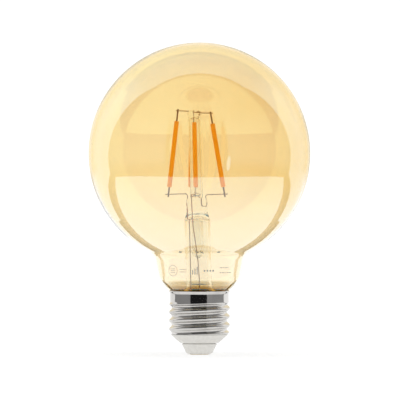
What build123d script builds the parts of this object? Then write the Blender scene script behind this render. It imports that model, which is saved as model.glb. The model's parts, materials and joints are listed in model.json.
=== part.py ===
from build123d import *
import math
import os

# Smart LED filament lamp: a 95 mm amber glass globe on an E27 screw cap. Millimetres and degrees.
# +Z is the lamp axis, from the cap up to the globe, and the origin is the middle of the bottom face
# of the centre contact. The glass stem and the four filaments are drawn upright as (x, y, z) and
# then leaned a little, because the stem of the real lamp does not stand quite straight.

# Glass globe: the ball, the tapering neck, and the skirt that is cemented into the cap
BALL_R = 47.5
BALL_Z = 86.2
GLASS_WALL = 0.8
NECK_TOP_R, NECK_TOP_Z = 19.75, 43.0
NECK_FOOT_R, NECK_FOOT_Z = 17.45, 31.6
SKIRT_R, SKIRT_TOP_Z, SKIRT_FOOT_Z = 11.6, 26.7, 23.2
NECK_TOP_ROUND, NECK_FOOT_ROUND, SKIRT_ROUND = 5.0, 7.0, 1.5

# Stem: flared tube, solid press, pumping tube, and the rod that carries the button
LEAN = 1.6
LEAN_PIVOT = (0, 0, 25)
FLARE_R, FLARE_WALL = 5.5, 1.0
FLARE_BEND_R, FLARE_BEND_Z = 11.0, 31.3
PRESS_FOOT_Z, PRESS_SLAB_Z, PRESS_TOP_Z = 58.0, 61.5, 67.0
PRESS_WIDTH, PRESS_DEPTH, PRESS_CORNER, PRESS_TOP_ROUND = 9.2, 5.6, 2.5, 0.8
PUMP_TUBE_R, PUMP_TUBE_BORE_R, PUMP_TIP_Z, PUMP_TIP_LENGTH = 2.5, 1.7, 42.0, 3.2
ROD_R, ROD_BORE_R = 2.6, 1.7
BUTTON_FOOT_Z, BUTTON_TOP_Z, BUTTON_R = 102.0, 105.0, 3.1

# Wires inside the glass
WIRE_R = 0.2
INNER_BEND, OUTER_BEND, TOP_BEND = 1.0, 2.0, 0.8
SEAL_TOP_Z, SEAL_FOOT_Z = 65.0, 56.0
LEFT_SEAL, LEFT_SEAL_FOOT = (-3.9, 0), (-3.4, -0.2)
FRONT_SEAL, FRONT_SEAL_FOOT = (-2.2, -2.25), (-1.9, -2.7)
RIGHT_SEAL = (3.9, 0)
BACK_SEAL = (1.8, 2.3)
ANCHOR_FOOT_Z = 63.5
BOTTOM_OVERHANG, TOP_OVERHANG = 1.4, 0.9
TOP_WIRE_KNEE_X, TOP_WIRE_KNEE_Y = 0.15, 0.05  # shares of the reach to the first and second joint
LEAD_FOOT_Z = 21.6
LEFT_LEAD_KNEES = [(-3.4, -0.5, 42.0)]
LEFT_LEAD_X, LEFT_LEAD_TOUCH_Z = -3.5, 30.0
FRONT_LEAD_KNEES = [(-0.2, -3.4, 41.0), (0.2, -3.0, 31.0)]
FRONT_LEAD_X, FRONT_LEAD_TOUCH_Z = 0.2, 24.0

# Filaments: azimuth and height of each welded joint, bottom then top, on two circles
BOTTOM_CIRCLE_R, TOP_CIRCLE_R = 12.0, 7.0
FILAMENT_ENDS = {
    "left": ((180, 69.0), (180, 104.7)),
    "right": ((0, 68.4), (0, 103.2)),
    "front": ((267, 68.7), (266, 103.9)),
    "back": ((101, 68.7), (95, 103.9)),
}
COAT_WIDTH, COAT_DEPTH, COAT_ROUND = 1.95, 1.8, 0.65
COAT_ABOVE_BOTTOM_JOINT, COAT_BELOW_TOP_JOINT = 3.1, 4.5
STRIP_WIDTH, STRIP_THICKNESS, STRIP_INSET = 1.0, 0.4, 0.4
CHIP_COUNT = 26
CHIP_LENGTH, CHIP_WIDTH, CHIP_THICKNESS = 0.55, 0.3, 0.12
CLIP_WIDTH, CLIP_THICKNESS, CLIP_LAP = 0.7, 0.2, 1.2
CLIP_PAST_BOTTOM_JOINT, CLIP_PAST_TOP_JOINT = 1.2, 0.7
WELD_BITE = 0.05

# Screw shell: an E27 thread rolled in sheet metal, right-handed
SHELL_WALL = 0.35
THREAD_PITCH = 3.629
THREAD_CREST_R = 13.1
THREAD_ROLL_R = 1.025
THREAD_PHASE_Z = 9.05
SHELL_FOOT_Z, SHELL_TOP_Z = 8.6, 27.45
SHELL_FOOT_R, COLLAR_R, RIM_R = 12.0, 12.62, 13.05
SHELL_FOOT_TAPER = 4.0
THREAD_START_Z, THREAD_END_Z, THREAD_FADE = 8.2, 22.6, 1.6
RIM_START_Z, RIM_FLARE = 26.0, 1.1
SHELL_SECTIONS, SECTION_POINTS = 56, 32
LIP_BORE_R, LIP_R, LIP_TOP_Z = 11.0, 11.95, 8.95

# Bottom of the cap: plastic insulator and centre contact
FLANGE_R, FLANGE_TOP_Z = 11.5, 10.4
INSULATOR_TOP_R, INSULATOR_EDGE, STEP_R, STEP_Z, STEP_HEIGHT = 12.1, 0.25, 8.3, 5.0, 0.4
UNDERCUT_R, LOWER_CONE_R, LOWER_CONE_FOOT_R, LOWER_CONE_FOOT_Z = 6.95, 7.6, 6.05, 1.5
INSULATOR_FOOT_R, INSULATOR_FOOT_Z, FOOT_BULGE = 4.5, 0.25, 0.3
INSULATOR_BORE_R, FLOOR_R, FLOOR_Z, LOWER_CONE_BORE_R = 10.2, 4.6, 1.9, 6.3
CONTACT_R, CONTACT_THICKNESS, CONTACT_ROUND = 4.1, 0.5, 0.2
NAIL_R, NAIL_TOP_Z = 1.25, 4.5

# Driver inside the cap
BOARD_WIDTH, BOARD_FOOT_Z, BOARD_TOP_Z, BOARD_THICKNESS = 17.0, 11.0, 24.0, 1.0
TONGUE_WIDTH, TONGUE_TOP_Z = 6.0, 28.0
SLEEVE_R, SLEEVE_WALL, SLEEVE_TOP_Z = 10.65, 0.25, 21.8
CEMENT_FOOT_Z, CEMENT_TOP_Z = 23.4, 24.9
CAPACITOR_R, CAPACITOR_FOOT_Z, CAPACITOR_TOP_Z, CAPACITOR_X = 3.15, 12.5, 21.0, -4.6
CAPACITOR_ROUND, CAPACITOR_LEG_X, CAPACITOR_LEG_BEND = 0.4, 1.25, 0.5
CAPACITOR_LEG_Z = BOARD_FOOT_Z + 0.6
CHOKE_R, CHOKE_CORE_R, CHOKE_FOOT_Z, CHOKE_TOP_Z, CHOKE_X = 3.0, 1.4, 13.0, 20.0, 4.6
CHOKE_FLANGE, WINDING_R = 1.0, 2.7
CHIP_BODY, CHIP_STAND_OFF = (4.9, 1.5, 3.9), 0.15
LEG_WIDTH, LEG_THICKNESS, LEG_REACH = 0.4, 0.2, 0.6
DRIVER_CHIP_X, DRIVER_CHIP_Z, DRIVER_CHIP_LEGS = -4.4, 17.0, 4
RECTIFIER_X, RECTIFIER_Z, RECTIFIER_LEGS = 4.4, 14.0, 2
RADIO_BOARD = (12.0, 0.8, 10.0)
RADIO_BOARD_Y, RADIO_BOARD_Z = 4.2, 17.4
PIN_COUNT, PIN_PITCH, PIN_SIZE, PIN_BELOW_EDGE = 6, 1.8, 0.5, 0.6
SHIELD_SIZE, SHIELD_WALL = (8.0, 1.6, 7.0), 0.2
ANTENNA_ROWS, ANTENNA_REACH, ANTENNA_RISE, ANTENNA_FEED = 3, 4.2, 1.0, 2.5
ANTENNA_TRACK, ANTENNA_THICKNESS, ANTENNA_BELOW_TOP = 0.5, 0.1, 0.75
FUSE_R, FUSE_FOOT_Z, FUSE_TOP_Z, FUSE_ROUND = 1.1, 5.6, 9.8, 0.4
DRIVER_WIRE_R, DRIVER_WIRE_BEND = 0.3, 1.2
SHELL_WIRE_X, SHELL_WIRE_FOOT_Z, SHELL_WIRE_Z, SHELL_WIRE_END_X = 7.4, 18.8, 22.5, 12.15
SOLDER_R, SOLDER_TOP_R, SOLDER_HEIGHT = 0.8, 0.35, 0.45
SOLDER_SPOTS = [(SHELL_WIRE_X, SHELL_WIRE_FOOT_Z), (1.6, LEAD_FOOT_Z), (-1.9, 21.9)]


# ---- drawing helpers ----


def turned(face):
    """Solid of revolution about the lamp axis of a face drawn as (radius, height)."""
    return revolve(Plane.XZ * face, Axis.Z)


def turned_outline(points):
    """Solid of revolution of a closed outline of (radius, height) corners."""
    return turned(make_face(Polyline(*points, close=True)))


def rod(radius, foot, top, x=0, y=0):
    """Upright cylinder between two heights."""
    standing = (Align.CENTER, Align.CENTER, Align.MIN)
    return Pos(x, y, foot) * Cylinder(radius, top - foot, align=standing)


def tube(radius, bore, foot, top, x=0, y=0):
    """Upright tube between two heights."""
    return rod(radius, foot, top, x, y) - rod(bore, foot, top, x, y)


def block(size, x=0, y=0, z=0):
    """Box of (x, y, z) size around a centre."""
    return Pos(x, y, z) * Box(*size)


def bent_wire(points, bend=INNER_BEND, radius=WIRE_R):
    """Round wire along straight runs joined by bends."""
    path = FilletPolyline(*points, radius=bend) if len(points) > 2 else Line(*points)
    section = Plane(path @ 0, z_dir=path % 0) * Circle(radius)
    return sweep(section, path)


def polar(radius, azimuth, z):
    """Point on a circle about the stem axis."""
    angle = math.radians(azimuth)
    return (radius * math.cos(angle), radius * math.sin(angle), z)


def lean(shape):
    """The stem and all that it carries, tipped about its foot."""
    return shape.rotate(Axis(LEAN_PIVOT, (0, 1, 0)), -LEAN)


# ---- glass globe ----


def globe_outside():
    """Half outline of the globe, from the foot of the skirt up to the top of the ball."""
    side_r, side_z = NECK_TOP_R - NECK_FOOT_R, NECK_TOP_Z - NECK_FOOT_Z
    length = math.hypot(side_r, side_z)
    along = Vector(side_r / length, side_z / length)
    outward = Vector(along.Y, -along.X)
    # The round corner between neck and ball touches both: its centre is one round radius off the
    # neck's side, and one round radius outside the ball.
    ball = Vector(0, BALL_Z)
    start = Vector(NECK_FOOT_R, NECK_FOOT_Z) + outward * NECK_TOP_ROUND
    to_start = start - ball
    half = along.dot(to_start)
    reach = BALL_R + NECK_TOP_ROUND
    travel = -half - math.sqrt(half**2 - to_start.dot(to_start) + reach**2)
    centre = start + along * travel
    neck_end = centre - outward * NECK_TOP_ROUND
    ball_start = ball + (centre - ball).normalized() * BALL_R
    corner_middle = centre - ((outward + (centre - ball).normalized()).normalized()) * NECK_TOP_ROUND
    ball_angle = math.atan2(ball_start.Y - BALL_Z, ball_start.X)
    middle_angle = (ball_angle + math.pi / 2) / 2
    ball_middle = ball + Vector(math.cos(middle_angle), math.sin(middle_angle)) * BALL_R
    lower = FilletPolyline(
        (SKIRT_R, SKIRT_FOOT_Z),
        (SKIRT_R, SKIRT_TOP_Z),
        (NECK_FOOT_R, NECK_FOOT_Z),
        neck_end,
        radius=[SKIRT_ROUND, NECK_FOOT_ROUND],
    )
    corner = ThreePointArc(neck_end, corner_middle, ball_start)
    upper = ThreePointArc(ball_start, ball_middle, (0, BALL_Z + BALL_R))
    return Wire([*lower.edges(), corner, upper])


def glass_globe():
    """Blown envelope of even wall, open at the foot of the skirt."""
    wall = offset(globe_outside(), GLASS_WALL, side=Side.LEFT)
    return turned(make_face(wall))


# ---- stem ----


def stem_flare():
    """Glass tube that opens like a trumpet until its rim meets the inside of the neck."""
    inner_bend = FLARE_BEND_R - FLARE_R
    outer_bend = inner_bend + FLARE_WALL
    trumpet = Pos(FLARE_BEND_R, FLARE_BEND_Z) * (Circle(outer_bend) - Circle(inner_bend))
    quarter_middle = (FLARE_BEND_R - outer_bend / 2, FLARE_BEND_Z - outer_bend / 2)
    quarter = Pos(*quarter_middle) * Rectangle(outer_bend, outer_bend)
    flare = turned(trumpet & quarter) + tube(FLARE_R, FLARE_R - FLARE_WALL, FLARE_BEND_Z, PRESS_FOOT_Z)
    neck_bore = rod(SKIRT_R - GLASS_WALL, SKIRT_FOOT_Z, PRESS_FOOT_Z + 1)
    return lean(flare) & neck_bore


def stem_press(wires):
    """Glass pinched flat around the wires, round where it grows out of the flared tube."""
    foot = Pos(0, 0, PRESS_FOOT_Z) * Circle(FLARE_R)
    slab = Pos(0, 0, PRESS_SLAB_Z) * RectangleRounded(PRESS_WIDTH, PRESS_DEPTH, PRESS_CORNER)
    press = loft([foot, slab]) + extrude(slab, PRESS_TOP_Z - PRESS_SLAB_Z)
    press = fillet(press.faces().sort_by(Axis.Z)[-1].edges(), PRESS_TOP_ROUND)
    return lean(press) - wires


def exhaust_tube():
    """Pumping tube, sealed off to a point below the press."""
    shoulder = PUMP_TIP_Z + PUMP_TIP_LENGTH
    wall = PUMP_TUBE_R - PUMP_TUBE_BORE_R
    return lean(
        turned_outline(
            [
                (0, PUMP_TIP_Z),
                (PUMP_TUBE_R * 0.5, PUMP_TIP_Z + PUMP_TIP_LENGTH * 0.3),
                (PUMP_TUBE_R, shoulder),
                (PUMP_TUBE_R, PRESS_FOOT_Z),
                (PUMP_TUBE_BORE_R, PRESS_FOOT_Z),
                (PUMP_TUBE_BORE_R, shoulder + wall / 2),
                (0, PUMP_TIP_Z + 2 * wall),
            ]
        )
    )


def support_rod():
    """Glass rod of thick tube from the press up to the button."""
    return lean(tube(ROD_R, ROD_BORE_R, PRESS_TOP_Z, BUTTON_FOOT_Z))


def rod_button(wires):
    """Flattened blob of glass that holds the two top wires."""
    foot, top, middle_z = (ROD_R, BUTTON_FOOT_Z), (0, BUTTON_TOP_Z), (BUTTON_FOOT_Z + BUTTON_TOP_Z) / 2
    bulge = Spline(foot, (BUTTON_R, middle_z), top, tangents=[(0.4, 1), (-1, 0)])
    button = turned(make_face([Line((0, BUTTON_FOOT_Z), foot), bulge, Line(top, (0, BUTTON_FOOT_Z))]))
    return lean(button) - wires


# ---- wires of the stem ----


def joint(name, end):
    """Welded joint of a filament: end 0 is at the bottom, end 1 at the top."""
    azimuth, z = FILAMENT_ENDS[name][end]
    return Vector(*polar((BOTTOM_CIRCLE_R, TOP_CIRCLE_R)[end], azimuth, z))


def wire_end(name, end):
    """Free end of the wire that carries a joint, a little further out than the joint."""
    azimuth, z = FILAMENT_ENDS[name][end]
    reach = (BOTTOM_CIRCLE_R + BOTTOM_OVERHANG, TOP_CIRCLE_R + TOP_OVERHANG)[end]
    return Vector(*polar(reach, azimuth, z))


def inner_lead(name, seal):
    """Wire from a filament's bottom joint in to the press and down to its seal wire."""
    outer = wire_end(name, 0)
    return lean(bent_wire([outer, (*seal, outer.Z), (*seal, SEAL_TOP_Z)]))


def seal_wire(seal, foot):
    """Copper-clad length that makes the airtight seal in the press."""
    return lean(bent_wire([(*seal, SEAL_TOP_Z), (*foot, SEAL_FOOT_Z)]))


def outer_lead(points):
    """Wire from a seal wire down the flared tube to the driver board."""
    return lean(bent_wire(points, bend=OUTER_BEND))


def anchor_wire():
    """Wire that joins the right and back filaments at the bottom, bent round inside the press."""
    right, back = wire_end("right", 0), wire_end("back", 0)
    points = [
        right,
        (*RIGHT_SEAL, right.Z),
        (*RIGHT_SEAL, ANCHOR_FOOT_Z),
        (*BACK_SEAL, ANCHOR_FOOT_Z),
        (*BACK_SEAL, back.Z),
        back,
    ]
    return lean(bent_wire(points))


def top_wire(first, second):
    """Wire that joins two filaments at the top, through the button."""
    start, finish = wire_end(first, 1), wire_end(second, 1)
    knee = (start.X * TOP_WIRE_KNEE_X, finish.Y * TOP_WIRE_KNEE_Y, (start.Z + finish.Z) / 2)
    return lean(bent_wire([start, knee, finish], bend=TOP_BEND))


# ---- filaments ----


def filament(name):
    """Strip, chips, coat and two clips of one filament, each ready in its place."""
    bottom, top = joint(name, 0), joint(name, 1)
    axis = (top - bottom).normalized()
    broad = Vector(0, 0, 1).cross(bottom + top).normalized()
    # The clips lie beside the wires, so that each weld bites a little into the wire.
    beside = broad * (WIRE_R + CLIP_THICKNESS / 2 - WELD_BITE)
    place = Plane(bottom + beside, x_dir=broad.cross(axis), z_dir=axis)
    span = (top - bottom).length
    low, high = COAT_ABOVE_BOTTOM_JOINT, span - COAT_BELOW_TOP_JOINT
    middle = (low + high) / 2
    coat_length = high - low
    strip_length = coat_length - 2 * STRIP_INSET
    # Depths are measured along the strip's broad side, from the middle of the clips.
    strip_y = CLIP_THICKNESS / 2 + STRIP_THICKNESS / 2
    chip_y = CLIP_THICKNESS / 2 - CHIP_THICKNESS / 2
    coat_y = strip_y - STRIP_THICKNESS / 4

    strip = block((STRIP_WIDTH, STRIP_THICKNESS, strip_length), y=strip_y, z=middle)

    clips = []
    for inner, outer in (
        (low + STRIP_INSET + CLIP_LAP, -CLIP_PAST_BOTTOM_JOINT),
        (high - STRIP_INSET - CLIP_LAP, span + CLIP_PAST_TOP_JOINT),
    ):
        size = (CLIP_WIDTH, CLIP_THICKNESS, abs(outer - inner))
        clips.append(block(size, z=(inner + outer) / 2))

    first_chip = low + STRIP_INSET + CLIP_LAP + CHIP_LENGTH
    last_chip = high - STRIP_INSET - CLIP_LAP - CHIP_LENGTH
    chips = []
    for number in range(CHIP_COUNT):
        z = first_chip + (last_chip - first_chip) * number / (CHIP_COUNT - 1)
        chips.append(block((CHIP_WIDTH, CHIP_THICKNESS, CHIP_LENGTH), y=chip_y, z=z))

    section = Pos(0, coat_y, low) * RectangleRounded(COAT_WIDTH, COAT_DEPTH, COAT_ROUND)
    coat = extrude(section, coat_length)
    coat = fillet(coat.faces().filter_by(Axis.Z).edges(), COAT_ROUND / 2)
    coat = coat - [strip, *clips, *chips]
    return {
        "strip": lean(place * strip),
        "chips": [lean(place * chip) for chip in chips],
        "coat": lean(place * coat),
        "clips": [lean(place * clip) for clip in clips],
    }


# ---- cap ----


def smooth_step(share):
    """0 below 0, 1 above 1, and an even S between."""
    share = min(1, max(0, share))
    return share * share * (3 - 2 * share)


def thread_radius(height):
    """Radius of the rolled thread at a height above a crest: two arcs to each half pitch."""
    quarter, half = THREAD_PITCH / 4, THREAD_PITCH / 2
    root_r = THREAD_CREST_R - 2 * (THREAD_ROLL_R - math.sqrt(THREAD_ROLL_R**2 - quarter**2))
    from_crest = abs((height + half) % THREAD_PITCH - half)
    if from_crest <= quarter:
        return THREAD_CREST_R - THREAD_ROLL_R + math.sqrt(THREAD_ROLL_R**2 - from_crest**2)
    return root_r + THREAD_ROLL_R - math.sqrt(THREAD_ROLL_R**2 - (half - from_crest) ** 2)


def shell_radius(angle, z):
    """Outer radius of the screw shell: tapered foot, thread, collar and flared rim."""
    foot = smooth_step((z - SHELL_FOOT_Z) / SHELL_FOOT_TAPER)
    rim = smooth_step((z - RIM_START_Z) / RIM_FLARE)
    plain = SHELL_FOOT_R + (COLLAR_R - SHELL_FOOT_R) * foot + (RIM_R - COLLAR_R) * rim
    fade_in = smooth_step((z - THREAD_START_Z) / THREAD_FADE)
    fade_out = smooth_step((THREAD_END_Z - z) / THREAD_FADE)
    height = z - THREAD_PHASE_Z - THREAD_PITCH * angle / (2 * math.pi)
    return plain + fade_in * fade_out * (thread_radius(height) - plain)


def shell_body(inset):
    """Solid inside the screw shell's outer face moved in by a distance, in short straight steps."""
    sections = []
    for level in range(SHELL_SECTIONS + 1):
        z = SHELL_FOOT_Z + (SHELL_TOP_Z - SHELL_FOOT_Z) * level / SHELL_SECTIONS
        points = []
        for step in range(SECTION_POINTS):
            angle = 2 * math.pi * step / SECTION_POINTS
            r = shell_radius(angle, z) - inset
            points.append(Vector(r * math.cos(angle), r * math.sin(angle), z))
        knots = [step / SECTION_POINTS for step in range(SECTION_POINTS + 1)]
        sections.append(Wire([Edge.make_spline(points, periodic=True, parameters=knots)]))
    return Solid.make_loft(sections, ruled=True)


def screw_shell():
    """Rolled sheet-metal shell with an inward lip at its foot."""
    lip = tube(LIP_R, LIP_BORE_R, SHELL_FOOT_Z, LIP_TOP_Z)
    return shell_body(0) - shell_body(SHELL_WALL) + lip


def cap_insulator():
    """Plastic cone with an undercut step and a round foot, which closes the shell and grips its lip."""
    middle_r = (LOWER_CONE_FOOT_R + INSULATOR_FOOT_R) / 2
    middle_z = (LOWER_CONE_FOOT_Z + INSULATOR_FOOT_Z) / 2
    return turned_outline(
        [
            (INSULATOR_BORE_R, FLANGE_TOP_Z),
            (FLANGE_R, FLANGE_TOP_Z),
            (FLANGE_R, LIP_TOP_Z),
            (LIP_BORE_R, LIP_TOP_Z),
            (LIP_BORE_R, SHELL_FOOT_Z),
            (INSULATOR_TOP_R, SHELL_FOOT_Z),
            (INSULATOR_TOP_R, SHELL_FOOT_Z - INSULATOR_EDGE),
            (STEP_R, STEP_Z),
            (UNDERCUT_R, STEP_Z),
            (UNDERCUT_R, STEP_Z - STEP_HEIGHT),
            (LOWER_CONE_R, STEP_Z - STEP_HEIGHT),
            (LOWER_CONE_FOOT_R, LOWER_CONE_FOOT_Z),
            (middle_r + FOOT_BULGE, middle_z - FOOT_BULGE),
            (INSULATOR_FOOT_R, INSULATOR_FOOT_Z),
            (CONTACT_R, INSULATOR_FOOT_Z),
            (CONTACT_R, CONTACT_THICKNESS),
            (NAIL_R, CONTACT_THICKNESS),
            (NAIL_R, FLOOR_Z),
            (FLOOR_R, FLOOR_Z),
            (LOWER_CONE_BORE_R, STEP_Z),
            (INSULATOR_BORE_R, SHELL_FOOT_Z - INSULATOR_EDGE),
        ]
    )


def centre_contact():
    """Pressed metal disc with a hollow nail that goes up through the insulator."""
    disc = rod(CONTACT_R, 0, CONTACT_THICKNESS)
    disc = fillet(disc.faces().sort_by(Axis.Z)[0].edges(), CONTACT_ROUND)
    nail = tube(NAIL_R, DRIVER_WIRE_R, CONTACT_THICKNESS, NAIL_TOP_Z)
    return disc + nail


def basing_cement():
    """Ring of cement between the glass skirt and the collar of the shell."""
    return tube(COLLAR_R - SHELL_WALL, SKIRT_R, CEMENT_FOOT_Z, CEMENT_TOP_Z)


def insulating_sleeve():
    """Thin plastic sleeve that keeps the driver off the shell."""
    return tube(SLEEVE_R, SLEEVE_R - SLEEVE_WALL, FLANGE_TOP_Z, SLEEVE_TOP_Z)


# ---- driver ----


def driver_board():
    """Circuit board on the lamp axis, with a tongue up into the flared tube for the antenna."""
    body_height, tongue_height = BOARD_TOP_Z - BOARD_FOOT_Z, TONGUE_TOP_Z - BOARD_TOP_Z
    body = block((BOARD_WIDTH, BOARD_THICKNESS, body_height), z=BOARD_FOOT_Z + body_height / 2)
    tongue = block((TONGUE_WIDTH, BOARD_THICKNESS, tongue_height), z=BOARD_TOP_Z + tongue_height / 2)
    return body + tongue


def smoothing_capacitor():
    """Electrolytic can standing in front of the board, with its two legs."""
    board_face = -BOARD_THICKNESS / 2
    y = board_face - CAPACITOR_R
    can = rod(CAPACITOR_R, CAPACITOR_FOOT_Z, CAPACITOR_TOP_Z, CAPACITOR_X, y)
    parts = [fillet(can.faces().filter_by(Axis.Z).edges(), CAPACITOR_ROUND)]
    for side in (-1, 1):
        x = CAPACITOR_X + side * CAPACITOR_LEG_X
        leg = [(x, y, CAPACITOR_FOOT_Z), (x, y, CAPACITOR_LEG_Z), (x, board_face, CAPACITOR_LEG_Z)]
        parts.append(bent_wire(leg, bend=CAPACITOR_LEG_BEND))
    return parts


def choke_core():
    """Ferrite drum of the choke."""
    y = -BOARD_THICKNESS / 2 - CHOKE_R
    core = rod(CHOKE_CORE_R, CHOKE_FOOT_Z, CHOKE_TOP_Z, CHOKE_X, y)
    for flange_foot in (CHOKE_FOOT_Z, CHOKE_TOP_Z - CHOKE_FLANGE):
        core += rod(CHOKE_R, flange_foot, flange_foot + CHOKE_FLANGE, CHOKE_X, y)
    return core


def choke_winding():
    """Copper winding between the flanges of the choke's drum."""
    y = -BOARD_THICKNESS / 2 - CHOKE_R
    foot, top = CHOKE_FOOT_Z + CHOKE_FLANGE, CHOKE_TOP_Z - CHOKE_FLANGE
    return tube(WINDING_R, CHOKE_CORE_R, foot, top, CHOKE_X, y)


def leaded_package(x, z, legs_a_side):
    """Moulded package lying on the back of the board, with its legs on two sides."""
    width, thickness, height = CHIP_BODY
    y = BOARD_THICKNESS / 2 + CHIP_STAND_OFF + thickness / 2
    parts = [block(CHIP_BODY, x, y, z)]
    drop = thickness / 2 + CHIP_STAND_OFF + LEG_THICKNESS / 2
    for side in (-1, 1):
        root_z = z + side * height / 2
        for number in range(legs_a_side):
            leg_x = x + width / legs_a_side * (number - (legs_a_side - 1) / 2)
            shoulder_size = (LEG_WIDTH, LEG_THICKNESS, LEG_REACH)
            shoulder = block(shoulder_size, leg_x, y, root_z + side * LEG_REACH / 2)
            leg_y = y + LEG_THICKNESS / 2 - drop / 2
            leg = block((LEG_WIDTH, drop, LEG_THICKNESS), leg_x, leg_y, root_z + side * LEG_REACH)
            parts.append(shoulder + leg)
    return parts


def fuse_resistor():
    """Fusible resistor between the contact wire and the board, with its upper leg."""
    body = rod(FUSE_R, FUSE_FOOT_Z, FUSE_TOP_Z)
    body = fillet(body.faces().filter_by(Axis.Z).edges(), FUSE_ROUND)
    return [body, rod(DRIVER_WIRE_R, FUSE_TOP_Z, BOARD_FOOT_Z)]


def contact_wire():
    """Wire from the fuse resistor down into the nail of the centre contact."""
    return rod(DRIVER_WIRE_R, CONTACT_THICKNESS, FUSE_FOOT_Z)


def shell_wire():
    """Wire from the board over the top of the sleeve to the inside of the shell."""
    y = BOARD_THICKNESS / 2 + DRIVER_WIRE_R
    route = [
        (SHELL_WIRE_X, y, SHELL_WIRE_FOOT_Z),
        (SHELL_WIRE_X, y, SHELL_WIRE_Z),
        (SHELL_WIRE_END_X, y, SHELL_WIRE_Z),
    ]
    return bent_wire(route, bend=DRIVER_WIRE_BEND, radius=DRIVER_WIRE_R)


def radio_board():
    """Small board of the radio module, parallel to the main board and behind it."""
    return block(RADIO_BOARD, 0, RADIO_BOARD_Y, RADIO_BOARD_Z)


def radio_pins():
    """Row of pins that holds the radio board on the main board."""
    length = RADIO_BOARD_Y - RADIO_BOARD[1] / 2 - BOARD_THICKNESS / 2
    y = BOARD_THICKNESS / 2 + length / 2
    z = RADIO_BOARD_Z + RADIO_BOARD[2] / 2 - PIN_BELOW_EDGE
    first_x = -PIN_PITCH * (PIN_COUNT - 1) / 2
    size = (PIN_SIZE, length, PIN_SIZE)
    return [block(size, first_x + PIN_PITCH * number, y, z) for number in range(PIN_COUNT)]


def radio_shield():
    """Thin metal can over the radio chip, open towards its board."""
    width, depth, height = SHIELD_SIZE
    y = RADIO_BOARD_Y + RADIO_BOARD[1] / 2 + depth / 2
    can = block(SHIELD_SIZE, 0, y, RADIO_BOARD_Z)
    hollow = (width - 2 * SHIELD_WALL, depth - SHIELD_WALL, height - 2 * SHIELD_WALL)
    return can - block(hollow, 0, y - SHIELD_WALL / 2, RADIO_BOARD_Z)


def radio_antenna():
    """Meandering copper track on the tongue of the board."""
    y = -BOARD_THICKNESS / 2 - ANTENNA_THICKNESS / 2
    first_z = TONGUE_TOP_Z - ANTENNA_BELOW_TOP - (ANTENNA_ROWS - 1) * ANTENNA_RISE
    feed_size = (ANTENNA_TRACK, ANTENNA_THICKNESS, ANTENNA_FEED)
    antenna = block(feed_size, -ANTENNA_REACH / 2, y, first_z - ANTENNA_FEED / 2)
    for row in range(ANTENNA_ROWS):
        z = first_z + row * ANTENNA_RISE
        antenna += block((ANTENNA_REACH + ANTENNA_TRACK, ANTENNA_THICKNESS, ANTENNA_TRACK), 0, y, z)
        if row < ANTENNA_ROWS - 1:
            side = 1 if row % 2 == 0 else -1
            riser_size = (ANTENNA_TRACK, ANTENNA_THICKNESS, ANTENNA_RISE)
            antenna += block(riser_size, side * ANTENNA_REACH / 2, y, z + ANTENNA_RISE / 2)
    return antenna


def solder_joints():
    """Flat domes of solder on the front of the board, where the wires meet it."""
    dome = Rot(90, 0, 0) * Solid.make_cone(SOLDER_R, SOLDER_TOP_R, SOLDER_HEIGHT)
    return [Pos(x, -BOARD_THICKNESS / 2, z) * dome for x, z in SOLDER_SPOTS]


# ---- write one file to each piece ----


def write(name, shape):
    """One STEP file with all of a node's separate solids."""
    shapes = shape if isinstance(shape, list) else [shape]
    solids = [solid for item in shapes for solid in item.solids()]
    node = solids[0] if len(solids) == 1 else Compound(children=solids)
    export_step(node, f"parts/{name}.step")


def all_wires():
    """The wires of the stem, by name."""
    board_front = -BOARD_THICKNESS / 2 - WIRE_R
    left_lead = [
        (*LEFT_SEAL_FOOT, SEAL_FOOT_Z),
        *LEFT_LEAD_KNEES,
        (LEFT_LEAD_X, board_front, LEFT_LEAD_TOUCH_Z),
        (LEFT_LEAD_X, board_front, LEAD_FOOT_Z),
    ]
    front_lead = [
        (*FRONT_SEAL_FOOT, SEAL_FOOT_Z),
        *FRONT_LEAD_KNEES,
        (FRONT_LEAD_X, board_front, FRONT_LEAD_TOUCH_Z),
        (FRONT_LEAD_X, board_front, LEAD_FOOT_Z),
    ]
    return {
        "inner_lead_left": inner_lead("left", LEFT_SEAL),
        "inner_lead_front": inner_lead("front", FRONT_SEAL),
        "seal_wire_left": seal_wire(LEFT_SEAL, LEFT_SEAL_FOOT),
        "seal_wire_front": seal_wire(FRONT_SEAL, FRONT_SEAL_FOOT),
        "outer_lead_left": outer_lead(left_lead),
        "outer_lead_front": outer_lead(front_lead),
        "anchor_wire": anchor_wire(),
        "top_wire_left": top_wire("left", "back"),
        "top_wire_right": top_wire("right", "front"),
    }


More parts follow.
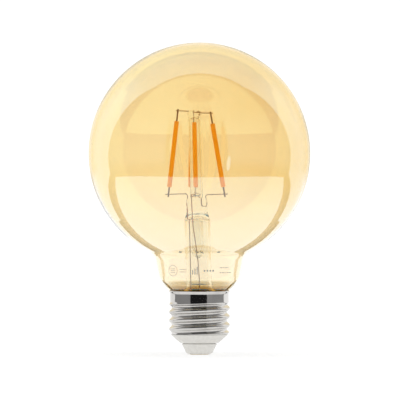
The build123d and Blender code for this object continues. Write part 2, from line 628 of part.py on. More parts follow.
wires = all_wires()
pressed = ("inner_lead_left", "inner_lead_front", "seal_wire_left", "seal_wire_front", "anchor_wire")
pieces = {
    **wires,
    "glass_globe": glass_globe(),
    "stem_flare": stem_flare(),
    "stem_press": stem_press([wires[name] for name in pressed]),
    "exhaust_tube": exhaust_tube(),
    "support_rod": support_rod(),
    "rod_button": rod_button([wires["top_wire_left"], wires["top_wire_right"]]),
    "screw_shell": screw_shell(),
    "cap_insulator": cap_insulator(),
    "centre_contact": centre_contact(),
    "basing_cement": basing_cement(),
    "insulating_sleeve": insulating_sleeve(),
    "driver_board": driver_board(),
    "smoothing_capacitor": smoothing_capacitor(),
    "choke_core": choke_core(),
    "choke_winding": choke_winding(),
    "driver_chip": leaded_package(DRIVER_CHIP_X, DRIVER_CHIP_Z, DRIVER_CHIP_LEGS),
    "bridge_rectifier": leaded_package(RECTIFIER_X, RECTIFIER_Z, RECTIFIER_LEGS),
    "fuse_resistor": fuse_resistor(),
    "contact_wire": contact_wire(),
    "shell_wire": shell_wire(),
    "radio_board": radio_board(),
    "radio_pins": radio_pins(),
    "radio_shield": radio_shield(),
    "radio_antenna": radio_antenna(),
    "solder_joints": solder_joints(),
}

welded_wires = {
    "left": ("inner_lead_left", "top_wire_left"),
    "right": ("anchor_wire", "top_wire_right"),
    "front": ("inner_lead_front", "top_wire_right"),
    "back": ("anchor_wire", "top_wire_left"),
}
for filament_name, wire_names in welded_wires.items():
    filament_parts = filament(filament_name)
    welded = [wires[name] for name in wire_names]
    filament_parts["clips"] = [clip - welded for clip in filament_parts["clips"]]
    for part_name, part_shape in filament_parts.items():
        pieces[f"filament_{filament_name}_{part_name}"] = part_shape

os.makedirs("parts", exist_ok=True)
for piece_name, piece_shape in pieces.items():
    write(piece_name, piece_shape)
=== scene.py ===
"""LED filament globe lamp: the visual model and its studio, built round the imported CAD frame."""

import json
import math

import bpy
from mathutils import Matrix, Vector


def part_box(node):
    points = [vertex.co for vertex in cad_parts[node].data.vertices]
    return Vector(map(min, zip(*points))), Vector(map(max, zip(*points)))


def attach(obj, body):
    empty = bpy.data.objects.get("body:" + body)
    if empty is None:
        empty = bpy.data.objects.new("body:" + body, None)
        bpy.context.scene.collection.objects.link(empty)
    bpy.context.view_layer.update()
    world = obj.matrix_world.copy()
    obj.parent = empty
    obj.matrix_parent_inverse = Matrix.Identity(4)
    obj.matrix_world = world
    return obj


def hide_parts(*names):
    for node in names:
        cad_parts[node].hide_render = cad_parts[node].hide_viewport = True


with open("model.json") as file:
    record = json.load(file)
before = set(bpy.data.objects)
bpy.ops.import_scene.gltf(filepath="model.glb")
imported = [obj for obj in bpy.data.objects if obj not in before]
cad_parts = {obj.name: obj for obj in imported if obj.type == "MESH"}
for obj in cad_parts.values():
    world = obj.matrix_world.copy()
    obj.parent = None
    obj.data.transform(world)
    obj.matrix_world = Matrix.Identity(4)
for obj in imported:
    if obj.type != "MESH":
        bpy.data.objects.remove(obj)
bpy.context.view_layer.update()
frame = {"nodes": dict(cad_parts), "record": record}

# ---- sizes, in millimetres in the row frame; MM turns them into metres ----

MM = 0.001
BALL_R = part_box("glass_globe")[1].x / MM
BALL_Z = 86.2
GLASS_WALL = 0.8
SKIRT_FOOT = (11.6, 23.2)
SKIRT_TOP = (11.6, 26.7)
NECK_FOOT = (17.45, 31.6)
NECK_TOP = (19.75, 43.0)
SKIRT_ROUND, NECK_FOOT_ROUND, NECK_TOP_ROUND = 1.5, 7.0, 5.0

LEAN = math.radians(1.6)
LEAN_PIVOT = Vector((0, 0, 25))
FLARE_R, FLARE_WALL, FLARE_BEND_R, FLARE_BEND_Z, FLARE_RIM_R = 5.5, 1.0, 11.0, 31.3, 10.78
PRESS_FOOT_Z, PRESS_SLAB_Z, PRESS_TOP_Z, PRESS_TOP_ROUND = 58.0, 61.5, 67.0, 0.8
PRESS_HALF_WIDTH, PRESS_HALF_DEPTH = 4.6, 2.8
PUMP_TUBE_R, PUMP_TUBE_BORE_R, PUMP_TIP_Z = 2.5, 1.7, 42.0
ROD_R, ROD_BORE_R, ROD_TOP_Z, BUTTON_TOP_Z, BUTTON_R = 2.6, 1.7, 102.0, 105.0, 3.1

SHELL_WALL, SHELL_FOOT_Z, SHELL_TOP_Z = 0.35, 8.6, 27.45
LIP_TOP_Z = SHELL_FOOT_Z + SHELL_WALL
SHELL_FOOT_R, COLLAR_R, RIM_R, LIP_BORE_R, SHELL_SEGMENTS = 12.0, 12.62, 13.05, 11.0, 180
THREAD_PITCH, THREAD_CREST_R, THREAD_ROLL_R, THREAD_PHASE_Z = 3.629, 13.1, 1.025, 9.05
THREAD_START_Z, THREAD_END_Z, THREAD_FADE = 8.2, 22.6, 1.6
RIM_START_Z, RIM_FLARE, SHELL_FOOT_TAPER = 26.0, 1.1, 4.0

INSULATOR_TOP_R, INSULATOR_EDGE_Z, FLANGE_R, FLANGE_TOP_Z, INSULATOR_BORE_R = 12.1, 8.35, 11.5, 10.4, 10.2
STEP_R, STEP_Z, STEP_HEIGHT, UNDERCUT_R, LOWER_CONE_R = 8.3, 5.0, 0.4, 6.95, 7.6
FOOT_CENTRE, FOOT_ROUND, FLOOR_R, FLOOR_Z, LOWER_CONE_BORE_R = (4.5, 1.8), 1.55, 4.6, 1.9, 6.3
CONTACT_SEAT_R, CONTACT_THICKNESS, NAIL_R, NAIL_TOP_Z, NAIL_BORE_R = 4.1, 0.5, 1.25, 4.5, 0.31

# ---- mesh helpers ----


SHARP_ANGLE = 50


def skin(name, rings, closed=False):
    """Smooth mesh over rings of points. A ring of one point is a pole, and closed joins last to first.

    Faces look outward where the rings climb and inward where they descend.
    """
    vertices, starts = [], []
    for ring in rings:
        starts.append(len(vertices))
        vertices.extend(Vector(point) * MM for point in ring)
    faces = []
    pairs = list(zip(range(len(rings)), range(1, len(rings))))
    if closed:
        pairs.append((len(rings) - 1, 0))
    for low, high in pairs:
        count = max(len(rings[low]), len(rings[high]))
        for step in range(count):
            following = (step + 1) % count
            corners = []
            for ring_number, places in ((low, (step, following)), (high, (following, step))):
                if len(rings[ring_number]) == 1:
                    corners.append(starts[ring_number])
                else:
                    corners.extend(starts[ring_number] + place for place in places)
            faces.append(corners)
    mesh = bpy.data.meshes.new(name)
    mesh.from_pydata(vertices, [], faces)
    mesh.validate()
    mesh.shade_smooth()
    mesh.set_sharp_from_angle(angle=math.radians(SHARP_ANGLE))
    piece = bpy.data.objects.new(name, mesh)
    bpy.context.scene.collection.objects.link(piece)
    return piece


def ring(radius, z, segments):
    """Level circle of points about the lamp axis, or its pole where the radius is nothing."""
    if radius < 1e-6:
        return [(0, 0, z)]
    turns = [2 * math.pi * step / segments for step in range(segments)]
    return [(radius * math.cos(turn), radius * math.sin(turn), z) for turn in turns]


def lathe(name, outline, segments, closed=False):
    """Solid of revolution of an outline of (radius, height) points."""
    return skin(name, [ring(r, z, segments) for r, z in outline], closed)


def arc(centre, radius, start, end, steps):
    """Points on an arc between two angles in degrees."""
    points = []
    for step in range(steps + 1):
        angle = math.radians(start + (end - start) * step / steps)
        points.append((centre[0] + radius * math.cos(angle), centre[1] + radius * math.sin(angle)))
    return points


def smooth_step(share):
    """0 for shares up to 0, 1 for shares from 1, smooth between."""
    share = min(1, max(0, share))
    return share * share * (3 - 2 * share)


def lean(piece):
    """Tips a piece of the stem about its foot, in its mesh."""
    pivot = LEAN_PIVOT * MM
    turn = Matrix.Translation(pivot) @ Matrix.Rotation(-LEAN, 4, "Y") @ Matrix.Translation(-pivot)
    piece.data.transform(turn)
    return piece


def finish_piece(piece, slot, *nodes):
    """A visual piece that stands for CAD nodes and takes a slot's finish."""
    piece.data.materials.append(materials[slot])
    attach(piece, "root")
    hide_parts(*nodes)


def join(piece, other):
    """Adds another mesh to a piece."""
    bpy.ops.object.select_all(action="DESELECT")
    piece.select_set(True)
    other.select_set(True)
    bpy.context.view_layer.objects.active = piece
    bpy.ops.object.join()


# ---- shader helpers ----


class Shader:
    """Adds nodes to one node tree. An input is a value, or a socket to link."""

    def __init__(self, tree):
        self.tree = tree
        tree.nodes.clear()

    def add(self, kind, inputs=None, **settings):
        node = self.tree.nodes.new("ShaderNode" + kind)
        for name, value in settings.items():
            setattr(node, name, value)
        for name, value in (inputs or {}).items():
            if isinstance(value, bpy.types.NodeSocket):
                self.tree.links.new(value, node.inputs[name])
            else:
                node.inputs[name].default_value = value
        return node

    def math(self, operation, *values):
        return self.add("Math", dict(enumerate(values)), operation=operation).outputs[0]

    def step(self, value, low, high):
        """0 before low, 1 past high, smooth between."""
        inputs = {"Value": value, "From Min": low, "From Max": high}
        return self.add("MapRange", inputs, interpolation_type="SMOOTHSTEP").outputs[0]

    def mix(self, share, first, second):
        """Colour mix."""
        node = self.add("Mix", data_type="RGBA")
        for socket, value in ((node.inputs[0], share), (node.inputs[6], first), (node.inputs[7], second)):
            if isinstance(value, bpy.types.NodeSocket):
                self.tree.links.new(value, socket)
            else:
                socket.default_value = value
        return node.outputs[2]

    def noise(self, scale, detail=3.0, stretch=(1, 1, 1)):
        """Noise value in object space, with scale in cycles to the metre."""
        place = self.add("TexCoord").outputs["Object"]
        place = self.add("Mapping", {"Vector": place, "Scale": stretch}).outputs[0]
        inputs = {"Vector": place, "Scale": scale, "Detail": detail, "Roughness": 0.55}
        return self.add("TexNoise", inputs).outputs["Fac"]

    def place(self):
        """Object-space x, y and z in metres."""
        return self.add("SeparateXYZ", {0: self.add("TexCoord").outputs["Object"]}).outputs

    def bump(self, height, distance):
        """Normal for a relief of a distance in metres."""
        return self.add("Bump", {"Height": height, "Distance": distance}).outputs[0]

    def surface(self, inputs):
        """Ends a material with a principled surface."""
        principled = self.add("BsdfPrincipled", inputs)
        self.add("OutputMaterial", {"Surface": principled.outputs[0]})


materials = {}


def new_material(name):
    """Shader of a new material, which is kept under its name."""
    materials[name] = bpy.data.materials.new(name)
    materials[name].use_nodes = True
    return Shader(materials[name].node_tree)


def rgba(colour):
    return (*colour, 1.0)


def grey(level):
    return (level, level, level, 1.0)


def varied(name, colour, other, roughness, scale, metallic=0.0, bump=0.0, **extra):
    """Opaque material whose colour, roughness and relief vary with fine noise."""
    shader = new_material(name)
    grain = shader.noise(scale)
    spread = shader.noise(scale * 0.2, detail=2.0)
    rough_spread = 0.08
    inputs = {
        "Base Color": shader.mix(shader.step(grain, 0.3, 0.7), rgba(colour), rgba(other)),
        "Roughness": shader.math("MULTIPLY_ADD", spread, rough_spread, roughness - rough_spread / 2),
        "Metallic": metallic,
    }
    if bump:
        inputs["Normal"] = shader.bump(grain, bump)
    shader.surface(inputs | extra)


# ---- materials ----


# The amber coat throws back more blue than red, and the light that passes is golden.
AMBER_IOR, AMBER_REFLECTION = 2.1, (0.28, 0.65, 0.88, 1.0)
BAND_Z, BAND_TOP_Z, FULL_AMBER_ABOVE_NECK = 29.0, 30.6, 40
CLEAR_GLASS_IOR = 1.3
SHELL_INSIDE_R, SHELL_OUTSIDE_R = 11.5, 12.1
CHIP_PITCH = 1.04
# Wires and clips come out too dark behind the glass, and a faint warm glow makes up for it.
WARM_GLOW = {"Emission Color": (0.20, 0.085, 0.0, 1.0), "Emission Strength": 1.0}


def amber_glass(name, body, neck, band):
    """One skin of the amber glass, clearer towards the neck, with a golden band in the cap's mouth.

    The ball is cloudy and a little deeper in colour towards +x.
    """
    shader = new_material(name)
    x, _, z = shader.place()
    clouds = shader.math("MULTIPLY", shader.noise(45, detail=2.0), 0.4)
    depth = shader.math("ADD", clouds, shader.math("MULTIPLY", x, 16.0))
    deeper = [channel * share for channel, share in zip(body, (0.97, 0.93, 0.86))]
    ball = shader.mix(shader.step(depth, -0.3, 0.9), rgba(body), rgba(deeper))
    neck_top = NECK_TOP[1]
    above_neck = shader.step(z, neck_top * MM, (neck_top + FULL_AMBER_ABOVE_NECK) * MM)
    tint = shader.mix(above_neck, rgba(neck), ball)
    inputs = {
        "Base Color": shader.mix(shader.step(z, BAND_Z * MM, BAND_TOP_Z * MM), rgba(band), tint),
        "Roughness": 0.0,
        "IOR": AMBER_IOR,
        "Specular Tint": AMBER_REFLECTION,
        "Transmission Weight": 1.0,
        "Normal": shader.bump(shader.noise(22, detail=1.0), 0.0001),
    }
    shader.surface(inputs)


def clear_glass():
    """Clear glass with faint drawn streaks."""
    shader = new_material("clear_glass")
    streaks = shader.noise(260, detail=2.0, stretch=(1, 1, 0.15))
    inputs = {
        "Base Color": shader.mix(streaks, rgba((0.99, 0.985, 0.96)), rgba((0.96, 0.955, 0.92))),
        "Roughness": 0.0,
        "IOR": CLEAR_GLASS_IOR,
        "Transmission Weight": 1.0,
        "Normal": shader.bump(streaks, 0.00002),
    }
    shader.surface(inputs)


def nickel_shell():
    """Bright nickel plate, a little wavy and smudged, and darker on the inside of the shell."""
    shader = new_material("nickel_shell")
    x, y, _ = shader.place()
    squares = [shader.math("MULTIPLY", side, side) for side in (x, y)]
    radius = shader.math("POWER", shader.math("ADD", *squares), 0.5)
    outer = shader.step(radius, SHELL_INSIDE_R * MM, SHELL_OUTSIDE_R * MM)
    waves = shader.noise(110, detail=1.5)
    smudges = shader.noise(130, detail=4.0)
    bright, dull = rgba((0.68, 0.665, 0.645)), rgba((0.56, 0.545, 0.525))
    plate = shader.mix(shader.step(smudges, 0.35, 0.75), bright, dull)
    inputs = {
        "Base Color": shader.mix(outer, rgba((0.42, 0.39, 0.35)), plate),
        "Metallic": 1.0,
        "Roughness": shader.math("MULTIPLY", smudges, 0.12),
        "Normal": shader.bump(waves, 0.00006),
    }
    shader.surface(inputs)


def filament_coat():
    """Orange phosphor in silicone, with a faint lighter band over each chip, and a painted faint orange
    glow.
    """
    shader = new_material("filament_coat")
    grain = shader.noise(1500)
    height = shader.place()[2]
    bands = shader.math("SINE", shader.math("MULTIPLY", height, 2 * math.pi / (CHIP_PITCH * MM)))
    light = shader.math("MULTIPLY", shader.step(bands, -0.2, 1.0), 0.35)
    ground = shader.mix(grain, rgba((0.90, 0.38, 0.015)), rgba((0.96, 0.45, 0.025)))
    inputs = {
        "Base Color": shader.mix(light, ground, rgba((1.0, 0.55, 0.05))),
        "Roughness": 0.38,
        "Subsurface Weight": 0.25,
        "Subsurface Radius": (0.0012, 0.0006, 0.0002),
        "Subsurface Scale": 1.0,
        "Specular IOR Level": 0.25,
        # Painted glow: the coat gives off a faint orange light of its own, so it looks brighter behind the
        # glass.
        "Emission Color": (1.0, 0.40, 0.01, 1.0),
        "Emission Strength": 0.4,
        "Normal": shader.bump(grain, 0.00002),
    }
    shader.surface(inputs)


def metal(name, colour, other, roughness, scale, **extra):
    """Bare metal with a fine grain."""
    varied(name, colour, other, roughness, scale, metallic=1.0, **extra)


amber_glass("amber_glass", body=(0.99, 0.94, 0.83), neck=(1.0, 0.965, 0.88), band=(0.74, 0.58, 0.26))
clear_glass()
nickel_shell()
filament_coat()
metal("nickel_wire", (0.50, 0.33, 0.15), (0.40, 0.26, 0.11), 0.5, 2500, **WARM_GLOW)
varied("copper_clad_wire", (0.62, 0.18, 0.04), (0.50, 0.14, 0.03), 0.45, 2000, **WARM_GLOW)
metal("clip_metal", (0.40, 0.29, 0.16), (0.32, 0.22, 0.12), 0.5, 2500, **WARM_GLOW)
varied("ceramic_strip", (0.85, 0.84, 0.80), (0.78, 0.77, 0.73), 0.6, 3000)
varied("led_chip", (0.45, 0.52, 0.68), (0.38, 0.44, 0.60), 0.15, 3000)
varied("white_insulator", (0.72, 0.705, 0.67), (0.66, 0.645, 0.61), 0.42, 700, bump=0.000015)
metal("contact_brass", (0.76, 0.66, 0.45), (0.60, 0.50, 0.33), 0.28, 900, bump=0.00001)
varied("cement", (0.72, 0.69, 0.62), (0.60, 0.57, 0.50), 0.85, 1800, bump=0.00006)
varied("sleeve_film", (0.80, 0.80, 0.78), (0.72, 0.72, 0.70), 0.45, 600)
varied("green_board", (0.02, 0.16, 0.06), (0.03, 0.22, 0.08), 0.35, 1400, bump=0.00001)
varied("black_package", (0.02, 0.02, 0.022), (0.035, 0.035, 0.038), 0.5, 3500, bump=0.00001)
varied("capacitor_sleeve", (0.015, 0.02, 0.06), (0.02, 0.03, 0.08), 0.3, 900)
varied("ferrite", (0.05, 0.05, 0.055), (0.09, 0.09, 0.095), 0.6, 3000, bump=0.00002)
metal("copper", (0.72, 0.27, 0.11), (0.60, 0.21, 0.08), 0.3, 2600, bump=0.00002)
metal("solder", (0.62, 0.62, 0.62), (0.48, 0.48, 0.48), 0.35, 2400)
varied("resistor_body", (0.12, 0.26, 0.16), (0.09, 0.20, 0.12), 0.3, 1200)
varied("insulated_wire", (0.75, 0.74, 0.70), (0.68, 0.67, 0.63), 0.4, 1500)
metal("shield_metal", (0.62, 0.62, 0.61), (0.52, 0.52, 0.51), 0.3, 1300)
varied("print_ink", (0.30, 0.28, 0.24), (0.40, 0.37, 0.32), 0.6, 2600)
amber_glass(
    "amber_glass_inside", body=(0.97, 0.86, 0.46), neck=(1.0, 0.93, 0.70), band=(0.52, 0.33, 0.06)
)

# ---- finish every CAD node by its slot ----

for part in frame["record"]["subparts"]:
    node = frame["nodes"][part["node"]]
    node.data.materials.clear()
    node.data.materials.append(materials[part["material_slot"]])

# ---- glass globe ----


def normal_at(heading):
    """Outward normal of an outline that climbs along a heading."""
    return Vector((math.sin(heading), -math.cos(heading)))


def heading_of(start, end):
    return math.atan2(end[1] - start[1], end[0] - start[0])


def corner_round(corner, before, after, radius, side):
    """A rounded corner as (centre, radius, first heading, last heading, side of the glass)."""
    middle, half = (before + after) / 2, abs(before - after) / 2
    centre = Vector(corner) - normal_at(middle) * side * radius / math.cos(half)
    return centre, radius, before, after, side


def globe_rounds():
    """The four round stretches of the globe's outline, from the skirt up to the top of the ball.

    Side is 1 where the round's centre is on the inside of the glass and -1 where it is outside.
    """
    shoulder = heading_of(SKIRT_TOP, NECK_FOOT)
    neck = heading_of(NECK_FOOT, NECK_TOP)
    ball = Vector((0, BALL_Z))
    along = Vector((math.cos(neck), math.sin(neck)))
    start = Vector(NECK_FOOT) + normal_at(neck) * NECK_TOP_ROUND - ball
    half = along.dot(start)
    reach = BALL_R + NECK_TOP_ROUND
    travel = -half - math.sqrt(half**2 - start.dot(start) + reach**2)
    centre = start + along * travel
    joining = math.atan2(centre.x, -centre.y)
    return [
        corner_round(SKIRT_TOP, math.pi / 2, shoulder, SKIRT_ROUND, -1),
        corner_round(NECK_FOOT, shoulder, neck, NECK_FOOT_ROUND, 1),
        (ball + centre, NECK_TOP_ROUND, neck, joining, -1),
        (ball, BALL_R, joining, math.pi, 1),
    ]


def globe_outline(inset):
    """Outline of the globe's outer face, or of its inner face if it is set in by the wall."""
    points = [(SKIRT_FOOT[0] - inset, SKIRT_FOOT[1])]
    counts = (8, 12, 12, 110)
    for (centre, radius, first, last, side), count in zip(globe_rounds(), counts):
        for step in range(count + 1):
            heading = first + (last - first) * step / count
            point = centre + normal_at(heading) * side * (radius - side * inset)
            points.append((max(point.x, 0), point.y))
    return points


def glass_globe():
    """The globe as one closed skin: down the inside first, then up the outside."""
    outside, inside = globe_outline(0), globe_outline(GLASS_WALL)
    segments = 224
    globe = lathe("globe_glass", inside[::-1] + outside, segments)
    finish_piece(globe, "amber_glass", "glass_globe")
    globe.data.materials.append(materials["amber_glass_inside"])
    inside_faces = segments * (len(inside) - 1)
    for number, face in enumerate(globe.data.polygons):
        face.material_index = 1 if number < inside_faces else 0


glass_globe()

# ---- stem ----

STEM_SEGMENTS, BORE_SEGMENTS = 72, 48


def press_ring(z, half_width, half_depth, fullness):
    """Cross-section of the press: an ellipse that gets squarer with fullness above 2."""
    points = []
    for step in range(STEM_SEGMENTS):
        turn = 2 * math.pi * step / STEM_SEGMENTS
        c, s = math.cos(turn), math.sin(turn)
        squash = (abs(c) ** fullness + abs(s) ** fullness) ** (-1 / fullness)
        points.append((half_width * squash * c, half_depth * squash * s, z))
    return points


def press_rings():
    """The press, from the round end of the flare tube up through its slab to its rounded top."""
    rings = []
    foot, levels = PRESS_FOOT_Z - 1.0, 16
    slab_width, slab_depth, slab_fullness = PRESS_HALF_WIDTH - 0.15, PRESS_HALF_DEPTH, 2.9
    for level in range(levels + 1):
        share = level / levels
        ease = smooth_step(share)
        width = FLARE_R + (slab_width - FLARE_R) * ease
        depth = FLARE_R + (slab_depth - FLARE_R) * ease
        fullness = 2 + (slab_fullness - 2) * ease
        rings.append(press_ring(foot + (PRESS_SLAB_Z - foot) * share, width, depth, fullness))
    levels, dent_depth, dent_pitch = 14, 0.12, 2.4
    for level in range(1, levels + 1):
        rise = (PRESS_TOP_Z - PRESS_TOP_ROUND - PRESS_SLAB_Z) * level / levels
        dent = dent_depth * math.sin(2 * math.pi * rise / dent_pitch)
        width, depth = slab_width + dent, slab_depth - abs(dent)
        rings.append(press_ring(PRESS_SLAB_Z + rise, width, depth, slab_fullness))
    levels = 6
    for level in range(1, levels + 1):
        turn = math.pi / 2 * level / levels
        inset, drop = PRESS_TOP_ROUND * (1 - math.cos(turn)), PRESS_TOP_ROUND * (1 - math.sin(turn))
        width, depth = slab_width - inset, slab_depth - inset
        rings.append(press_ring(PRESS_TOP_Z - drop, width, depth, slab_fullness))
    hollow_z = PRESS_TOP_Z - 0.02
    return rings + [press_ring(hollow_z, 2.2, 1.4, slab_fullness), [(0, 0, hollow_z)]]


def stem_inside():
    """Outline down the tip and side of the pumping tube, and back along the inside of the flare."""
    bore = FLARE_R - FLARE_WALL
    bend = FLARE_BEND_R - bore
    outline = [(0, PUMP_TIP_Z), (0.5, PUMP_TIP_Z + 0.25), (1.2, PUMP_TIP_Z + 1.1), (2.0, PUMP_TIP_Z + 2.3)]
    outline += [(PUMP_TUBE_R, PUMP_TIP_Z + 3.6), (PUMP_TUBE_R, 50), (PUMP_TUBE_R, PRESS_FOOT_Z - 1.2)]
    outline += arc((3.5, PRESS_FOOT_Z - 1.0), 1.0, 180, 0, 10) + [(bore, 50), (bore, 40)]
    outline += arc((FLARE_BEND_R, FLARE_BEND_Z), bend, 180, 267, 14)
    return outline + [(FLARE_RIM_R, FLARE_BEND_Z - bend)]


def stem_glass():
    """Flared tube, press and pumping tube, which are fused into one piece of glass."""
    bend = FLARE_BEND_R - FLARE_R
    outside = [(FLARE_RIM_R, FLARE_BEND_Z - bend)]
    outside += arc((FLARE_BEND_R, FLARE_BEND_Z), bend, 268, 180, 14)[1:]
    outside += [(FLARE_R, 40), (FLARE_R, 50), (FLARE_R, PRESS_FOOT_Z - 1.5)]
    rings = [ring(r, z, STEM_SEGMENTS) for r, z in stem_inside() + outside]
    body = skin("stem_glass", rings + press_rings())
    # The bore is a hollow inside the glass, so its rings descend.
    bore = [(0, PRESS_FOOT_Z + 0.7), (1.0, PRESS_FOOT_Z + 0.4), (PUMP_TUBE_BORE_R, PRESS_FOOT_Z - 0.5)]
    bore += [(PUMP_TUBE_BORE_R, 50), (PUMP_TUBE_BORE_R, PUMP_TIP_Z + 4.2)]
    bore += [(0.9, PUMP_TIP_Z + 2.3), (0, PUMP_TIP_Z + 1.5)]
    join(body, lathe("stem_bore", bore, BORE_SEGMENTS))
    lean(body)
    finish_piece(body, "clear_glass", "stem_flare", "stem_press", "exhaust_tube")


def rod_glass():
    """Thick glass tube with the button melted on its top."""
    foot, neck = PRESS_TOP_Z, ROD_TOP_Z + 1.2
    outline = [(0, foot), (ROD_R - 0.15, foot), (ROD_R, foot + 0.3), (ROD_R, 80), (ROD_R, 92)]
    outline.append((ROD_R, ROD_TOP_Z - 0.4))
    for across, up in arc((0, 0), 1.0, -35, 90, 14):
        outline.append((BUTTON_R * max(across, 0), neck + (BUTTON_TOP_Z - neck) * up))
    body = lathe("rod_glass", outline, STEM_SEGMENTS)
    bore = [(0, ROD_TOP_Z - 0.3), (ROD_BORE_R * 0.6, ROD_TOP_Z - 0.5), (ROD_BORE_R, ROD_TOP_Z - 1.4)]
    bore += [(ROD_BORE_R, 85), (ROD_BORE_R, foot + 2.0), (ROD_BORE_R * 0.7, foot + 1.2), (0, foot + 0.9)]
    join(body, lathe("rod_bore", bore, BORE_SEGMENTS))
    lean(body)
    finish_piece(body, "clear_glass", "support_rod", "rod_button")


stem_glass()
rod_glass()

# ---- screw shell ----


def thread_radius(height):
    """Radius of the rolled thread at a height above a crest: two arcs to each half pitch."""
    quarter, half = THREAD_PITCH / 4, THREAD_PITCH / 2
    root = THREAD_CREST_R - 2 * (THREAD_ROLL_R - math.sqrt(THREAD_ROLL_R**2 - quarter**2))
    from_crest = abs((height + half) % THREAD_PITCH - half)
    if from_crest <= quarter:
        return THREAD_CREST_R - THREAD_ROLL_R + math.sqrt(THREAD_ROLL_R**2 - from_crest**2)
    return root + THREAD_ROLL_R - math.sqrt(THREAD_ROLL_R**2 - (half - from_crest) ** 2)


def shell_radius(turn, z):
    """Outer radius of the screw shell: tapered foot, thread, collar and flared rim."""
    plain = SHELL_FOOT_R + (COLLAR_R - SHELL_FOOT_R) * smooth_step((z - SHELL_FOOT_Z) / SHELL_FOOT_TAPER)
    plain += (RIM_R - COLLAR_R) * smooth_step((z - RIM_START_Z) / RIM_FLARE)
    share = smooth_step((z - THREAD_START_Z) / THREAD_FADE) * smooth_step((THREAD_END_Z - z) / THREAD_FADE)
    height = z - THREAD_PHASE_Z - THREAD_PITCH * turn / (2 * math.pi)
    return plain + share * (thread_radius(height) - plain)


def shell_ring(z, inset):
    """Cross-section of the shell, set in from its outer face."""
    turns = [2 * math.pi * step / SHELL_SEGMENTS for step in range(SHELL_SEGMENTS)]
    radii = [shell_radius(turn, z) - inset for turn in turns]
    return [(r * math.cos(turn), r * math.sin(turn), z) for r, turn in zip(radii, turns)]


def screw_shell():
    """The threaded sheet-metal shell as one closed skin: up the outside, down the inside, and its lip."""
    levels, edge = 150, 0.12
    low, high = SHELL_FOOT_Z + edge, SHELL_TOP_Z - edge
    heights = [low + (high - low) * level / levels for level in range(levels + 1)]
    rings = [shell_ring(z, 0) for z in heights]
    rings += [shell_ring(SHELL_TOP_Z, edge), shell_ring(SHELL_TOP_Z, SHELL_WALL - edge)]
    rings += [shell_ring(z, SHELL_WALL) for z in heights[:2:-1]]
    lip = [(LIP_BORE_R + edge, LIP_TOP_Z), (LIP_BORE_R, LIP_TOP_Z - edge)]
    lip += [(LIP_BORE_R, SHELL_FOOT_Z + edge), (LIP_BORE_R + edge, SHELL_FOOT_Z)]
    rings += [ring(r, z, SHELL_SEGMENTS) for r, z in lip]
    rings.append(shell_ring(SHELL_FOOT_Z, edge * 2))
    shell = skin("thread_shell", rings, closed=True)
    finish_piece(shell, "nickel_shell", "screw_shell")


screw_shell()

# ---- insulator and contact ----


def rounded(points, radius):
    """A closed outline with each corner rounded, or rounded as far as its sides allow."""
    result = []
    count, steps = len(points), 4
    for number, corner in enumerate(points):
        corner = Vector(corner)
        before = Vector(points[number - 1]) - corner
        after = Vector(points[(number + 1) % count]) - corner
        reach = min(radius, before.length * 0.45, after.length * 0.45)
        start, end = corner + before.normalized() * reach, corner + after.normalized() * reach
        for step in range(steps + 1):
            share = step / steps
            near, far = start.lerp(corner, share), corner.lerp(end, share)
            result.append(tuple(near.lerp(far, share)))
    return result


def insulator():
    """Cone with an undercut step and a rounded foot, and the flange that the shell's lip grips."""
    under_step_z = STEP_Z - STEP_HEIGHT
    outline = [(NAIL_R, CONTACT_THICKNESS), (CONTACT_SEAT_R, CONTACT_THICKNESS)]
    outline += [(CONTACT_SEAT_R, FOOT_CENTRE[1] - FOOT_ROUND)] + arc(FOOT_CENTRE, FOOT_ROUND, -90, -25, 7)
    outline += [(LOWER_CONE_R, under_step_z), (UNDERCUT_R, under_step_z), (UNDERCUT_R, STEP_Z)]
    outline += [(STEP_R, STEP_Z), (INSULATOR_TOP_R, INSULATOR_EDGE_Z), (INSULATOR_TOP_R, SHELL_FOOT_Z)]
    outline += [(LIP_BORE_R, SHELL_FOOT_Z), (LIP_BORE_R, LIP_TOP_Z), (FLANGE_R, LIP_TOP_Z)]
    outline += [(FLANGE_R, FLANGE_TOP_Z), (INSULATOR_BORE_R, FLANGE_TOP_Z)]
    outline += [(INSULATOR_BORE_R, INSULATOR_EDGE_Z), (LOWER_CONE_BORE_R, STEP_Z), (FLOOR_R, FLOOR_Z)]
    outline.append((NAIL_R, FLOOR_Z))
    piece = lathe("insulator_body", rounded(outline, 0.15), segments=128, closed=True)
    finish_piece(piece, "white_insulator", "cap_insulator")


def contact():
    """Pressed disc with a shallow ring and a dimple, and the hollow nail behind it."""
    dimple_depth, ring_depth, edge = 0.16, 0.07, 0.2
    disc_r = CONTACT_SEAT_R - 0.02
    face = [(0, dimple_depth), (0.5, 0.15), (0.95, 0.06), (1.3, 0.0)]
    face += [(2.5, 0.0), (2.75, ring_depth), (3.0, ring_depth), (3.2, 0.0)]
    face += arc((disc_r - edge, edge), edge, 270, 360, 5) + [(disc_r, CONTACT_THICKNESS - 0.06)]
    face += [(disc_r - 0.04, CONTACT_THICKNESS), (NAIL_R + 0.02, CONTACT_THICKNESS)]
    nail = [(NAIL_R, CONTACT_THICKNESS + 0.02), (NAIL_R, NAIL_TOP_Z - 0.08), (NAIL_R - 0.08, NAIL_TOP_Z)]
    nail += [(NAIL_BORE_R + 0.07, NAIL_TOP_Z), (NAIL_BORE_R, NAIL_TOP_Z - 0.08)]
    nail += [(NAIL_BORE_R, CONTACT_THICKNESS + 0.1), (0, CONTACT_THICKNESS + 0.1)]
    piece = lathe("contact_disc", face + nail, segments=96)
    finish_piece(piece, "contact_brass", "centre_contact")


insulator()
contact()

# ---- generic print on the neck ----

PRINT_Z, PRINT_LINE = 36.2, 0.16
INK_LIFT, INK_TOP = 0.004, 0.03


def neck_radius(z):
    """Outer radius of the neck's straight side."""
    slope = (NECK_TOP[0] - NECK_FOOT[0]) / (NECK_TOP[1] - NECK_FOOT[1])
    return NECK_FOOT[0] + slope * (z - NECK_FOOT[1])


